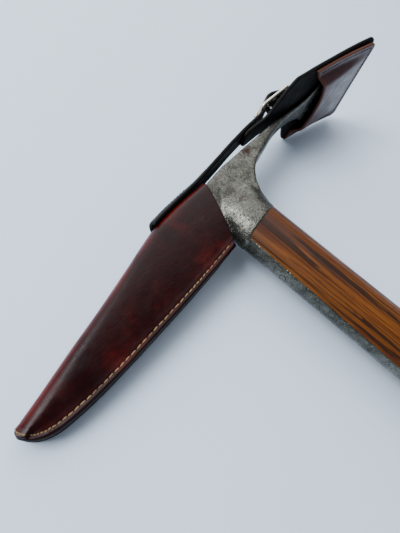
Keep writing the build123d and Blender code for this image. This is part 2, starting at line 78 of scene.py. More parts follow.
def smooth(a, b, x):
    """0 below a, 1 above b, with a smooth step between."""
    t = min(max((x - a) / (b - a), 0.0), 1.0)
    return t * t * (3 - 2 * t)


def rounded(x, start, long, deep):
    """How far a corner that begins at start has pulled an edge in at x."""
    return deep * (1 - math.sqrt(max(1 - ((x - start) / long) ** 2, 0)))


def stops(length, step, edge=0.9):
    """Fractions of a length, crowded near both ends so that an edge can be rounded."""
    near = [k * edge for k in (0.0, 0.08, 0.25, 0.5, 1.0)]
    count = max(2, int((length - 2 * edge) / step))
    middle = [edge + (length - 2 * edge) * k / count for k in range(1, count)]
    return [d / length for d in near + middle + [length - d for d in reversed(near)]]


def new_mesh(name, points, faces, body, material, masks=None):
    """A mesh from points in the axe's millimetres, put into the frame on its body."""
    mesh = bpy.data.meshes.new(name)
    mesh.from_pydata([AXE @ Vector(p) for p in points], [], faces)
    mesh.validate()
    mesh.shade_smooth()
    if masks:
        layer = mesh.color_attributes.new("mask", "FLOAT_COLOR", "POINT")
        for i, m in enumerate(masks):
            layer.data[i].color = (*m, 1.0)
    mesh.materials.append(material)
    obj = bpy.data.objects.new(name, mesh)
    bpy.context.scene.collection.objects.link(obj)
    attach(obj, body)
    return obj


EDGE_THINNING = 0.86


def sheet(name, place, us, vs, thick, body, material, mask, edge=0.9, shift=0.0):
    """A closed sheet of leather round the surface place(u, v), with rounded edges.

    The mask gives each point how much of the spine colour and of the dyed edge it has. On the sheath's fold the
    spine colour is a painted highlight; on the other parts it is rubbed leather.
    """
    nu, nv = len(us), len(vs)
    grid = [[Vector(place(u, v)) for v in vs] for u in us]
    points, masks = [[], []], [[], []]
    rows = [[0.0] * nv for _ in range(nu)]
    columns = [[0.0] * nv for _ in range(nu)]
    for i in range(nu):
        for j in range(1, nv):
            columns[i][j] = columns[i][j - 1] + (grid[i][j] - grid[i][j - 1]).length
    for j in range(nv):
        for i in range(1, nu):
            rows[i][j] = rows[i - 1][j] + (grid[i][j] - grid[i - 1][j]).length
    for i in range(nu):
        for j in range(nv):
            du = grid[min(i + 1, nu - 1)][j] - grid[max(i - 1, 0)][j]
            dv = grid[i][min(j + 1, nv - 1)] - grid[i][max(j - 1, 0)]
            normal = du.cross(dv).normalized()
            across = min(columns[i][j], columns[i][-1] - columns[i][j])
            gap = min(across, rows[i][j], rows[-1][j] - rows[i][j])
            full = math.sqrt(1 - EDGE_THINNING * (1 - min(gap / edge, 1)) ** 2)
            centre = grid[i][j] + normal * shift
            spine, dyed = mask(us[i], gap, grid[i][j])
            for k, sign in enumerate((1, -1)):
                points[k].append(centre + normal * (sign * full * thick / 2))
                masks[k].append((spine, dyed, float(k)))
    total = nu * nv
    faces = []
    for i in range(nu - 1):
        for j in range(nv - 1):
            a, b = i * nv + j, (i + 1) * nv + j
            c, d = b + 1, a + 1
            faces.append((a, b, c, d))
            faces.append((d + total, c + total, b + total, a + total))
    ring = [i * nv for i in range(nu)] + [(nu - 1) * nv + j for j in range(1, nv)]
    ring += [i * nv + nv - 1 for i in range(nu - 2, -1, -1)] + [j for j in range(nv - 2, 0, -1)]
    for a, b in zip(ring, ring[1:] + ring[:1]):
        faces.append((b, a, a + total, b + total))
    return new_mesh(name, points[0] + points[1], faces, body, material, masks[0] + masks[1])


STITCH_RINGS, STITCH_SIDES, STITCH_SLANT, STITCH_SUNK = 7, 8, 0.12, 0.12


def thread(name, paths, body, material, width, tall, fill=0.86, rise=0.18):
    """Rows of separate stitches. Each path is a list of (point, normal) at the stitch holes."""
    points, faces = [], []
    for path in paths:
        for (p, n), (q, m) in zip(path, path[1:]):
            p, q, n, m = Vector(p), Vector(q), Vector(n), Vector(m)
            along = (q - p) * fill
            start = p + (q - p) * (1 - fill) / 2
            side = along.cross(n + m).normalized()
            start, along = start + side * STITCH_SLANT, along - side * (2 * STITCH_SLANT)
            base = len(points)
            for r in range(STITCH_RINGS):
                t = r / (STITCH_RINGS - 1)
                size = max(math.sin(math.pi * (0.06 + 0.88 * t)) ** 0.5, 0.2)
                up = (n + (m - n) * t).normalized()
                centre = start + along * t + up * (rise * math.sin(math.pi * t) - STITCH_SUNK)
                for c in range(STITCH_SIDES):
                    angle = math.tau * c / STITCH_SIDES
                    out = side * (width * size * math.cos(angle))
                    points.append(centre + out + up * (tall * size * math.sin(angle)))
            for r in range(STITCH_RINGS - 1):
                ring = base + r * STITCH_SIDES
                for c in range(STITCH_SIDES):
                    a, b = ring + c, ring + (c + 1) % STITCH_SIDES
                    faces.append((a, b, b + STITCH_SIDES, a + STITCH_SIDES))
            last = base + (STITCH_RINGS - 1) * STITCH_SIDES
            faces.append(tuple(base + c for c in reversed(range(STITCH_SIDES))))
            faces.append(tuple(last + c for c in range(STITCH_SIDES)))
    return new_mesh(name, points, faces, body, material)


# ---- materials ------------------------------------------------------------------------------
def linear(r, g, b):
    """A linear colour from 0 to 255 screen values."""
    colour = [((v / 255 + 0.055) / 1.055) ** 2.4 if v > 10 else v / 255 / 12.92 for v in (r, g, b)]
    return (*colour, 1.0)


class Nodes:
    """A short way to write a material's nodes. Scales are per metre, distances in metres."""

    def __init__(self, name):
        self.material = bpy.data.materials.new(name)
        self.material.use_nodes = True
        self.tree = self.material.node_tree
        self.shader = self.tree.nodes["Principled BSDF"]

    def add(self, kind, **settings):
        node = self.tree.nodes.new(kind)
        for key, value in settings.items():
            if hasattr(node, key):
                setattr(node, key, value)
            else:
                node.inputs[key.replace("_", " ")].default_value = value
        return node

    def link(self, source, target):
        self.tree.links.new(source, target)

    def place(self, scale=(1, 1, 1), turn=(0, 0, 0)):
        """The point's place, turned into the axe's frame, in metres times scale."""
        where = self.add("ShaderNodeTexCoord").outputs["Object"]
        mapping = self.add("ShaderNodeMapping")
        mapping.inputs["Rotation"].default_value = TURN.inverted().to_euler()
        self.link(where, mapping.inputs["Vector"])
        second = self.add("ShaderNodeMapping")
        second.inputs["Scale"].default_value = scale
        second.inputs["Rotation"].default_value = turn
        self.link(mapping.outputs[0], second.inputs["Vector"])
        return second.outputs[0]

    def noise(self, vector, scale, detail=4.0, rough=0.55, distortion=0.0):
        """Noise with scale features to the metre."""
        node = self.add(
            "ShaderNodeTexNoise", Scale=scale, Detail=detail, Roughness=rough, Distortion=distortion
        )
        self.link(vector, node.inputs["Vector"])
        return node.outputs[0]

    def voronoi(self, vector, scale):
        """The distance to the nearest of scattered points, scale of them to the metre."""
        node = self.add("ShaderNodeTexVoronoi", Scale=scale)
        self.link(vector, node.inputs["Vector"])
        return node.outputs[0]

    def ramp(self, value, *stops_):
        node = self.add("ShaderNodeValToRGB")
        ramp = node.color_ramp
        while len(ramp.elements) < len(stops_):
            ramp.elements.new(0.5)
        for element, (at, colour) in zip(ramp.elements, stops_):
            element.position = at
            element.color = colour
        self.link(value, node.inputs[0])
        return node.outputs[0]

    def span(self, value, low, high, to_low=0.0, to_high=1.0):
        """The value stretched from low and high to to_low and to_high, and held there."""
        node = self.add("ShaderNodeMapRange")
        numbers = {"From Min": low, "From Max": high, "To Min": to_low, "To Max": to_high}
        for key, number in numbers.items():
            node.inputs[key].default_value = number
        self.link(value, node.inputs["Value"])
        return node.outputs[0]

    def maths(self, operation, a, b):
        node = self.add("ShaderNodeMath", operation=operation)
        for socket, value in zip(node.inputs, (a, b)):
            if isinstance(value, (int, float)):
                socket.default_value = value
            else:
                self.link(value, socket)
        return node.outputs[0]

    def mix(self, factor, a, b):
        node = self.add("ShaderNodeMix", data_type="RGBA")
        for socket, value in ((node.inputs[0], factor), (node.inputs[6], a), (node.inputs[7], b)):
            if isinstance(value, (int, float, tuple)):
                socket.default_value = value
            else:
                self.link(value, socket)
        return node.outputs[2]

    def mask(self):
        """The three values that sheet() gives each point."""
        attribute = self.add("ShaderNodeAttribute", attribute_name="mask")
        split = self.add("ShaderNodeSeparateColor")
        self.link(attribute.outputs["Color"], split.inputs[0])
        return split.outputs

    def bump(self, height, distance, strength=1.0, before=None):
        node = self.add("ShaderNodeBump")
        node.inputs["Distance"].default_value = distance
        node.inputs["Strength"].default_value = strength
        self.link(height, node.inputs["Height"])
        if before:
            self.link(before, node.inputs["Normal"])
        return node.outputs[0]

    def finish(self, colour, roughness, normal=None, **constants):
        for socket, value in (("Base Color", colour), ("Roughness", roughness), ("Normal", normal)):
            if value is None:
                continue
            if isinstance(value, (int, float, tuple)):
                self.shader.inputs[socket].default_value = value
            else:
                self.link(value, self.shader.inputs[socket])
        for key, value in constants.items():
            self.shader.inputs[key.replace("_", " ")].default_value = value
        return self.material


def leather(name, colours, spine, edge, flesh, roughness, coat, wrinkle, shine):
    """Dyed leather. The mask's red is the spine colour (a painted highlight along the sheath's fold, rubbed
    leather on the other parts), green the dyed edge, blue the flesh.
    """
    dark, middle, light = (linear(*c) for c in colours)
    spine, edge, flesh = linear(*spine), linear(*edge), linear(*flesh)
    n = Nodes(name)
    spot = n.place()
    stretched = n.place((0.55, 1.2, 1.0), (0, 0, 0.5))
    cloud = n.noise(spot, 38, 5, 0.6, 0.4)
    colour = n.ramp(cloud, (0.3, dark), (0.52, middle), (0.72, light))
    creases = n.noise(stretched, 420, 6, 0.62, 0.9)
    pores = n.voronoi(spot, 1500)
    colour = n.mix(n.span(creases, 0.35, 0.62, 0.0, 0.5), colour, dark)
    reds, edges, sides = n.mask()
    colour = n.mix(reds, colour, spine)
    colour = n.mix(edges, colour, edge)
    rough_side = n.mix(n.noise(spot, 900, 3), flesh, tuple(c * 0.6 for c in flesh[:3]) + (1.0,))
    colour = n.mix(n.maths("MULTIPLY", sides, n.maths("SUBTRACT", 1.0, edges)), colour, rough_side)
    rough = n.span(n.noise(spot, 160, 4), 0.3, 0.7, roughness - 0.08, roughness + 0.1)
    rough = n.maths("ADD", rough, n.maths("MULTIPLY", sides, 0.4))
    rough = n.maths("ADD", rough, n.maths("MULTIPLY", edges, 0.12))
    bump = n.bump(creases, 0.00022 * wrinkle, 0.55)
    bump = n.bump(pores, 0.00006, 0.4, bump)
    bump = n.bump(n.noise(stretched, 90, 3, 0.5, 0.6), 0.0005, 0.35 * wrinkle, bump)
    return n.finish(
        colour, rough, bump, Coat_Weight=coat, Coat_Roughness=0.26, Specular_IOR_Level=shine
    )


OXBLOOD = leather(
    "oxblood_leather", ((16, 0, 1), (34, 1, 2), (66, 10, 8)),
    # The spine colour is the painted highlight along the sheath's fold.
    spine=(92, 13, 6), edge=(12, 3, 3), flesh=(70, 50, 38),
    roughness=0.33, coat=0.0, wrinkle=1.0, shine=0.17,
)
BLACK = leather(
    "black_leather", ((4, 2, 2), (8, 5, 5), (15, 9, 9)),
    spine=(64, 13, 8), edge=(8, 5, 5), flesh=(9, 7, 7),
    roughness=0.46, coat=0.03, wrinkle=1.0, shine=0.16,
)
MAUVE = leather(
    "mauve_leather", ((44, 17, 21), (68, 32, 36), (98, 60, 62)),
    # The near-black flesh side is painted shade for the inside of the pocket under the top panel.
    spine=(104, 46, 30), edge=(76, 36, 20), flesh=(12, 8, 8),
    roughness=0.36, coat=0.05, wrinkle=0.45, shine=0.3,
)


def steel():
    """Old forged steel: mottled grey, pitted, with brown rust where it was spotted."""
    n = Nodes("forged_steel")
    spot = n.place()
    cloud = n.noise(spot, 70, 8, 0.7, 0.3)
    fine = n.noise(spot, 520, 6, 0.72)
    grit = n.noise(spot, 1400, 4, 0.7)
    greys = (0.34, linear(48, 47, 43)), (0.5, linear(78, 78, 72)), (0.68, linear(106, 105, 99))
    colour = n.ramp(cloud, *greys)
    colour = n.mix(n.span(fine, 0.5, 0.64, 0.0, 0.72), colour, linear(40, 36, 31))
    colour = n.mix(n.span(grit, 0.56, 0.66, 0.0, 0.5), colour, linear(158, 157, 148))
    rust = n.noise(n.place((1, 1, 1), (0.4, 0.2, 0.1)), 46, 7, 0.74, 0.6)
    spots = n.span(rust, 0.6, 0.66)
    colour = n.mix(spots, colour, linear(48, 28, 20))
    pits = n.voronoi(spot, 560)
    colour = n.mix(n.span(pits, 0.05, 0.24, 0.75, 0.0), colour, linear(30, 26, 23))
    rough = n.span(fine, 0.3, 0.7, 0.18, 0.36)
    rough = n.maths("ADD", rough, n.maths("MULTIPLY", spots, 0.3))
    bump = n.bump(n.span(pits, 0.0, 0.3), 0.0003, 0.6)
    bump = n.bump(fine, 0.00035, 0.6, bump)
    bump = n.bump(cloud, 0.0008, 0.3, bump)
    return n.finish(colour, rough, bump, Metallic=0.85)


def wood():
    """Oiled ash: long dark grain lines along the shaft over orange brown."""
    n = Nodes("ash_wood")
    grain = n.place((1, 0.035, 1))
    fine = n.place((1, 0.018, 1))
    bands = n.noise(grain, 150, 6, 0.66, 0.9)
    browns = (0.3, linear(44, 17, 2)), (0.46, linear(76, 36, 6))
    golds = (0.62, linear(106, 59, 15)), (0.78, linear(72, 33, 6))
    colour = n.ramp(bands, *browns, *golds)
    lines = n.noise(grain, 380, 4, 0.6, 0.5)
    colour = n.mix(n.span(lines, 0.52, 0.6, 0.0, 0.9), colour, linear(26, 10, 4))
    pores = n.noise(fine, 1100, 3, 0.6)
    colour = n.mix(n.span(pores, 0.52, 0.66, 0.0, 0.7), colour, linear(28, 11, 4))
    spot = n.place()
    patches = n.noise(spot, 30, 4, 0.6)
    colour = n.mix(n.span(patches, 0.45, 0.7, 0.0, 0.4), colour, linear(46, 18, 7))
    rough = n.span(pores, 0.3, 0.7, 0.3, 0.46)
    bump = n.bump(pores, 0.0003, 0.4)
    bump = n.bump(lines, 0.0005, 0.4, bump)
    return n.finish(
        colour, rough, bump, Coat_Weight=0.05, Coat_Roughness=0.3, Specular_IOR_Level=0.22
    )


def waxed_thread(name, deep, pale, soiled):
    """Twisted thread, dirty in places, with painted shade in the twist's grooves."""
    n = Nodes(name)
    twist = n.place((1, 1, 1), (0, 0, 0.8))
    wave = n.add("ShaderNodeTexWave", Scale=900.0, Distortion=1.5)
    n.link(twist, wave.inputs["Vector"])
    # Darker where the twist's bump is low: painted shade in its grooves, paler on its ridges.
    colour = n.mix(wave.outputs[1], deep, pale)
    dirt = n.noise(twist, 120, 3)
    colour = n.mix(n.span(dirt, 0.42, 0.66, 0.0, 0.8), colour, soiled)
    return n.finish(colour, 0.65, n.bump(wave.outputs[1], 0.00012, 0.7))


def plated(name, colour, worn, roughness):
    """Plated metal, duller where the plating has worn."""
    n = Nodes(name)
    spot = n.place()
    wear = n.noise(spot, 260, 6, 0.7)
    mixed = n.mix(n.span(wear, 0.52, 0.7), colour, worn)
    rough = n.span(wear, 0.3, 0.7, roughness, roughness + 0.2)
    return n.finish(mixed, rough, n.bump(wear, 0.00012, 0.4), Metallic=0.9)


STEEL = steel()
WOOD = wood()
THREAD = waxed_thread(
    "waxed_thread", deep=linear(120, 92, 50), pale=linear(164, 134, 84), soiled=linear(84, 56, 32)
)
DARK_THREAD = waxed_thread(
    "dark_thread", deep=linear(34, 20, 14), pale=linear(54, 34, 24), soiled=linear(22, 13, 10)
)
PLATED = plated("buckle_metal", linear(214, 208, 192), linear(150, 138, 116), 0.22)
RIVET = plated("rivet_metal", linear(150, 148, 142), linear(96, 84, 70), 0.35)


# ---- head: the CAD forging with its joins blended -------------------------------------------
# Metres and passes. A voxel no larger than the adze's edge is thick keeps that edge whole.
VOXEL, SMOOTHING = ((0.0006, 28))
SOFT_FROM, SOFT_FULL = 1.0, 6.0


def forged_head():
    """A copy of the CAD head, its corners and joins softened above the socket's rim."""
    mesh = frame["nodes"]["head"].data.copy()
    mesh.materials.clear()
    obj = bpy.data.objects.new("head_forged", mesh)
    bpy.context.scene.collection.objects.link(obj)
    modifier = obj.modifiers.new("remesh", "REMESH")
    modifier.mode = "VOXEL"
    modifier.voxel_size = VOXEL
    graph = bpy.context.evaluated_depsgraph_get()
    mesh = bpy.data.meshes.new_from_object(obj.evaluated_get(graph))
    obj.modifiers.clear()
    obj.data = mesh
    group = obj.vertex_groups.new(name="soft")
    for v in mesh.vertices:
        weight = smooth(SOFT_FROM, SOFT_FULL, (BACK @ v.co).y)
        if weight:
            group.add([v.index], weight, "REPLACE")
    modifier = obj.modifiers.new("smooth", "SMOOTH")
    modifier.iterations = SMOOTHING
    modifier.factor = 0.6
    modifier.vertex_group = "soft"
    graph = bpy.context.evaluated_depsgraph_get()
    mesh = bpy.data.meshes.new_from_object(obj.evaluated_get(graph))
    obj.modifiers.clear()
    obj.data = mesh
    obj.vertex_groups.clear()
    mesh.shade_smooth()
    mesh.materials.append(STEEL)
    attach(obj, "axe")
    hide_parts("head")


forged_head()


# ---- pick sheath -----------------------------------------------------------------------------
# Ten stations from mouth to tip: the fold, the sewn edge and half the thickness.
SPINE = (
    (-3.4, 41.9), (-30.0, 41.5), (-50.0, 39.4), (-75.0, 32.9), (-100.0, 26.5),
    (-123.0, 21.2), (-144.5, 15.9), (-155.0, 13.5), (-158.6, 12.7), (-159.6, 12.3),
)
SEAM = (
    (-20.3, 0.4), (-45.0, -1.4), (-63.0, -2.5), (-86.8, -3.4), (-110.0, -4.0),
    (-130.0, -4.0), (-148.0, -2.4), (-157.0, 1.4), (-161.7, 7.4), (-161.2, 10.6),
)
FULL = ((8.7,), (8.5,), (8.2,), (7.8,), (7.3,), (6.8,), (6.2,), (5.7,), (5.0,), (4.3,))
SHEATH_LONG, HIDE, WELT_DEEP, WELT_THICK = 165, 2.2, 4.0, 3.7
FOLD_RADIUS, SEAM_WIDE, SEAM_HALF = 7.4, 5.5, 4.15
STITCH_INSET, GROOVE_WIDE, GROOVE_DEEP = 3.0, 0.8, 0.34
MOUTH_CORNER, MOUTH_CUT = 7.0, 5.0
WELT_SET_BACK, TIP_DEPTH_SHARE = 0.25, 0.6


def sheath_half(u, depth, total):
    """Half the sheath's thickness at a depth below its spine."""
    full = curve(FULL, u)[0]
    radius = min(FOLD_RADIUS, 0.8 * total)
    if depth < radius:
        return full * math.sqrt(max(1 - (1 - depth / radius) ** 2, 0.0))
    q = min((depth - radius) / max(total - SEAM_WIDE - radius, 0.5), 1.0)
    half = SEAM_HALF + (full - SEAM_HALF) * (1 - q**1.7)
    groove = math.exp(-(((total - depth - STITCH_INSET) / GROOVE_WIDE) ** 2))
    edge = smooth(1.4, 0.0, total - depth)
    return half - GROOVE_DEEP * groove - 0.5 * edge


def sheath_place(u, v):
    """The hide's outside: u from mouth to tip, v from one sewn edge over the spine to the other."""
    s, seam = curve(SPINE, u), curve(SEAM, u)
    total = math.dist(s, seam)
    depth = abs(v) * total
    x, y = (a + (b - a) * abs(v) for a, b in zip(s, seam))
    corner = min(max(depth - total + MOUTH_CORNER, 0.0) / MOUTH_CORNER, 1.0)
    x -= MOUTH_CUT * (1 - math.sqrt(1 - corner * corner)) * smooth(0.08, 0.0, u)
    half = math.copysign(sheath_half(u, depth, total), v)
    ripple = 0.16 * noise.noise(Vector((x * 0.11, y * 0.2, half)))
    return x, y, half + math.copysign(ripple, v) * smooth(0.0, 0.3, abs(v))


def sheath_mask(u, gap, p):
    depth = math.dist(curve(SPINE, u), p.xy)
    # Redder within a few millimetres of the fold: a painted highlight along the rounded fold. Also redder towards
    # the tip.
    red = 0.85 * smooth(5.5, 0.8, depth) * (0.55 + 0.6 * noise.noise(p * 0.12))
    red += 0.35 * smooth(0.86, 1.0, u)
    dyed = smooth(1.5, 0.5, gap)
    return min(max(red, 0.0), 1.0), dyed


# Close together on the fold, the stitches and the sewn edge.
half_stops = [0, 0.012, 0.03, 0.055, 0.085, 0.12, 0.16, 0.2, 0.25, 0.31, 0.38, 0.46, 0.54, 0.62]
half_stops += [0.69, 0.75, 0.8, 0.84, 0.87, 0.893, 0.912, 0.928, 0.942, 0.955, 0.967, 0.978]
half_stops += [0.987, 0.994, 1.0]
around = [-v for v in reversed(half_stops)] + half_stops[1:]
sheath = sheet(
    "sheath_hide", sheath_place, stops(SHEATH_LONG, 1.6, 1.0), around, HIDE,
    "pick_sheath", OXBLOOD, sheath_mask, shift=-HIDE / 2,
)
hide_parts("sheath_leather")


def welt_place(u, v):
    """The welt's middle plane, from just inside the sewn edge towards the pick."""
    s, seam = curve(SPINE, u), curve(SEAM, u)
    total = math.dist(s, seam)
    depth = total - WELT_SET_BACK - v * min(WELT_DEEP, TIP_DEPTH_SHARE * total)
    return (*(a + (b - a) * depth / total for a, b in zip(s, seam)), 0.0)


welt = sheet(
    "sheath_welt_edge", welt_place, stops(SHEATH_LONG, 2.5, 1.0), stops(WELT_DEEP, 0.8, 0.5),
    WELT_THICK, "pick_sheath", OXBLOOD, lambda u, gap, p: (0.0, 1.0), edge=0.7,
)
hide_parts("sheath_welt")


SHEATH_STITCHES = 52


def seam_path(side):
    """Stitch holes along the sheath's seam on one side."""
    path = []
    for k in range(SHEATH_STITCHES + 1):
        u = 0.02 + 0.965 * k / SHEATH_STITCHES
        s, seam = curve(SPINE, u), curve(SEAM, u)
        total = math.dist(s, seam)
        v = side * max(1 - STITCH_INSET / total, 0.12)
        p = Vector(sheath_place(u, v))
        a = Vector(sheath_place(u, v * 0.96))
        b = Vector(sheath_place(u, v * 1.03 if abs(v) < 0.95 else v))
        along = Vector(sheath_place(min(u + 0.01, 1), v)) - Vector(sheath_place(u - 0.01, v))
        normal = along.cross(b - a).normalized()
        if normal.z * side < 0:
            normal.negate()
        path.append((p + Vector((0, 0.16 * math.sin(k * 2.3), 0)), normal))
    return path


stitches = thread(
    "sheath_stitches", [seam_path(1), seam_path(-1)], "pick_sheath", THREAD,
    width=0.34, tall=0.24, fill=0.92, rise=0.14,
)
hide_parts("sheath_stitching")


# ---- strap -----------------------------------------------------------------------------------
STRAP = (
    (-46.5, 43.0), (-30.0, 44.5), (-8.0, 45.2), (12.0, 46.9), (32.0, 48.9), (52.0, 50.5),
    (73.5, 52.0), (81.0, 56.0), (89.5, 59.2), (98.0, 56.6), (105.0, 52.2), (116.0, 48.6),
    (128.0, 46.0),
)
STRAP_LONG, STRAP_WIDE, STRAP_THICK = 181, 14.0, 2.4
POINT_START, POINT_SHARE, BAR_X = 0.9, 0.1, 90
FLAT_DROOP, SHEATH_DROOP, BAR_DROOP = 0.2, 3.1, 0.5


def strap_place(u, v):
    """The strap's middle surface: flat at the buckle, and drooping at its sides on the sheath."""
    x, y = curve(STRAP, u)
    z = (0.5 - v) * STRAP_WIDE
    if u > POINT_START:
        z *= 1 - 0.45 * ((u - POINT_START) / POINT_SHARE) ** 2
    drop = SHEATH_DROOP * smooth(60.0, -40.0, x) + FLAT_DROOP
    if x > 60:
        drop += BAR_DROOP * math.exp(-(((x - BAR_X) / 9) ** 2))
    ripple = 0.12 * noise.noise(Vector((x * 0.09, z * 0.2, 3)))
    return x, y - drop * (2 * z / STRAP_WIDE) ** 2 + ripple, z


def strap_mask(u, gap, p):
    bend = math.exp(-(((p.x - BAR_X) / 8) ** 2))
    return 0.9 * bend, smooth(0.9, 0.2, gap)


strap = sheet(
    "strap_leather", strap_place, stops(STRAP_LONG, 1.7, 0.8), stops(STRAP_WIDE, 1.2, 0.8),
    STRAP_THICK, "pick_sheath", BLACK, strap_mask, edge=0.8,
)
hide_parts("strap")


BOX_FROM, BOX_TO, BOX_HALF = -43.6, -16.2, 4.7
STITCHES_ALONG, STITCHES_ACROSS = 10, 4


def strap_seams():
    """A box of stitches that holds the strap to the sheath's spine."""
    def at(x, z):
        low, high = 0.0, 1.0
        for _ in range(30):
            u = (low + high) / 2
            low, high = (u, high) if curve(STRAP, u)[0] < x else (low, u)
        v = 0.5 - z / STRAP_WIDE
        p = Vector(strap_place(u, v))
        q = Vector(strap_place(u + 0.01, v))
        r = Vector(strap_place(u, v + 0.3 / STRAP_WIDE))
        normal = (q - p).cross(r - p).normalized()
        if normal.y < 0:
            normal.negate()
        return p + normal * (STRAP_THICK / 2), normal

    along, across = (BOX_TO - BOX_FROM) / STITCHES_ALONG, 2 * BOX_HALF / STITCHES_ACROSS
    xs = [BOX_FROM + along * k for k in range(STITCHES_ALONG + 1)]
    zs = [BOX_HALF - across * k for k in range(STITCHES_ACROSS + 1)]
    sides = [[at(x, z) for x in xs] for z in (BOX_HALF, -BOX_HALF)]
    ends = [[at(x, z) for z in zs] for x in (BOX_FROM, BOX_TO)]
    return sides + ends


seams = thread(
    "strap_stitches", strap_seams(), "pick_sheath", DARK_THREAD, width=0.4, tall=0.28
)
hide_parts("strap_stitching")


# ---- adze cover ------------------------------------------------------------------------------
ARC_X, ARC_Y, ARC_R = 53.0, -413.0, 456.0
PANEL_START, PANEL_LONG, PANEL_WIDE, PANEL_THICK = 46.0, 122.0, 66, 2.4
TONGUE_HALF, SHOULDER_WIDE, SHOULDER_END = 6.8, 25.5, 88.0
NEAR_SHOULDER, FAR_SHOULDER = (66.0, 88.5), (90.0, 106.5)
TONGUE_CORNER, END_CORNER = 51.0, 163.5
PANEL_RISE, TONGUE_LIFT, CORNER_CURL = 1.25, 3.1, 1.2


def arc(x, rise=0.0):
    """The height at x of the arc that the cover follows, or of one a rise above it."""
    return ARC_Y + math.sqrt((ARC_R + rise) ** 2 - (x - ARC_X) ** 2)


def panel_half(x, side):
    """The top panel's half width on one side, with its tongue, shoulder and rounded end."""
    shoulder = NEAR_SHOULDER if side > 0 else FAR_SHOULDER
    half = TONGUE_HALF + SHOULDER_WIDE * smooth(*shoulder, x)
    half += 3.0 * max(x - SHOULDER_END, 0) / 80.0
    if x < TONGUE_CORNER:
        half -= rounded(x, TONGUE_CORNER, 5.2, 4.4)
    if x > END_CORNER:
        half -= rounded(x, END_CORNER, 4.7, 4.6)
    return half


def panel_place(u, v):
    """The panel's middle surface, lifted along its tongue and curled at its far corners."""
    x = PANEL_START + PANEL_LONG * u
    z = (0.5 - v) * 2 * panel_half(x, 0.5 - v)
    lift = 0.5 * noise.noise(Vector((x * 0.03, z * 0.04, 7.0))) * smooth(60, 100, x)
    lift += TONGUE_LIFT * smooth(97, 62, x)
    curl = CORNER_CURL * smooth(20, 36, abs(z)) * smooth(120, 168, x)
    return x, arc(x, PANEL_RISE + lift + curl), z


def panel_mask(u, gap, p):
    return 0.5 * smooth(1.8, 0.6, gap) * (0.4 + noise.noise(p * 0.2)), smooth(1.1, 0.3, gap)


panel = sheet(
    "cover_top", panel_place, stops(PANEL_LONG, 1.7, 0.9), stops(PANEL_WIDE, 1.7, 0.9),
    PANEL_THICK, "adze_cover", BLACK, panel_mask, edge=0.8,
)
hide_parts("cover_panel")


FLAP_START, FLAP_END, MOUTH_DEEP, FLAP_LONG, FLAP_THICK = 104.0, 166.0, 12.0, 60, 2.1
FLAP_HALF, FLAP_SPREAD, FLAP_CORNER, FLAP_BORDER = 31.0, 2.6, 161.5, 5.4
FLAP_GAP, POCKET_DEEP, POCKET_LONG, POCKET_SLOPE = 1.2, 6.6, 58.0, 6.5


def flap_half(x):
    """The flap's half width, with its rounded corners."""
    half = FLAP_HALF + FLAP_SPREAD * (x - FLAP_START) / (FLAP_END - FLAP_START)
    if x > FLAP_CORNER:
        half -= rounded(x, FLAP_CORNER, 4.6, 4.0)
    return half


def flap_depth(x, z):
    """How far the flap's middle surface hangs below the top panel's underside."""
    inner = flap_half(x) - FLAP_BORDER
    across = smooth(inner, inner - POCKET_SLOPE, abs(z)) * (1 - 0.12 * (z / 30) ** 2)
    along = max(1 - ((x - FLAP_START) / POCKET_LONG) ** 2, 0.0)
    belly = 0.35 * noise.noise(Vector((x * 0.05, z * 0.06, 1.0)))
    return FLAP_GAP + (POCKET_DEEP + belly) * across * along


def flap_place(u, v):
    """The flap's middle surface, from its hollowed mouth to the cover's end."""
    share = (0.5 - v) * 2
    start = FLAP_START + MOUTH_DEEP * (1 - share * share)
    x = start + (FLAP_END - start) * u
    z = share * flap_half(x)
    return x, arc(x) - flap_depth(x, z) + 0.02, z


def flap_mask(u, gap, p):
    crease = math.exp(-(((gap - 2.0) / 0.35) ** 2)) * (1.0 if u < 0.2 else 0.0)
    raw = smooth(1.2, 0.3, gap)
    return 0.6 * smooth(2.0, 0.8, gap), min(raw + 0.5 * crease, 1.0)


def flipped(place):
    """The same surface with its front and back changed over."""
    return lambda u, v: place(u, 1 - v)


flap = sheet(
    "cover_flap_hide", flipped(flap_place), stops(FLAP_LONG, 1.3, 0.9),
    stops(PANEL_WIDE, 1.3, 0.9), FLAP_THICK, "adze_cover", MAUVE, flap_mask, edge=0.8,
)
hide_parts("cover_flap")


SIDE_SEAM_X, SIDE_PITCH, SIDE_HOLES, SIDE_INSET = 109.5, 2.9, 19, 3.0
END_SEAM_X, END_SEAM_HALF, END_STITCHES = 163.0, 28.6, 21
UNDER_FLAP = 2.26


def cover_seams():
    """One row of stitches round the pocket, under the flap and on the top panel."""
    side_xs = [SIDE_SEAM_X + SIDE_PITCH * k for k in range(SIDE_HOLES)]
    near = [(x, flap_half(x) - SIDE_INSET) for x in side_xs]
    pitch = 2 * END_SEAM_HALF / END_STITCHES
    end = [(END_SEAM_X, END_SEAM_HALF - pitch * k) for k in range(END_STITCHES + 1)]
    holes = near + end + [(x, -z) for x, z in reversed(near)]
    under, over = [], []
    for x, z in holes:
        normal = Vector((x - ARC_X, arc(x) - ARC_Y, 0)).normalized()
        under.append((Vector((x, arc(x) - UNDER_FLAP, z)), -normal))
        u, v = (x - PANEL_START) / PANEL_LONG, 0.5 - z / panel_half(x, z) / 2
        over.append((Vector(panel_place(u, v)) + normal * (PANEL_THICK / 2), normal))
    return [under, over]


seams = thread(
    "cover_stitches", cover_seams(), "adze_cover", DARK_THREAD, width=0.42, tall=0.3
)
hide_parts("cover_stitching")


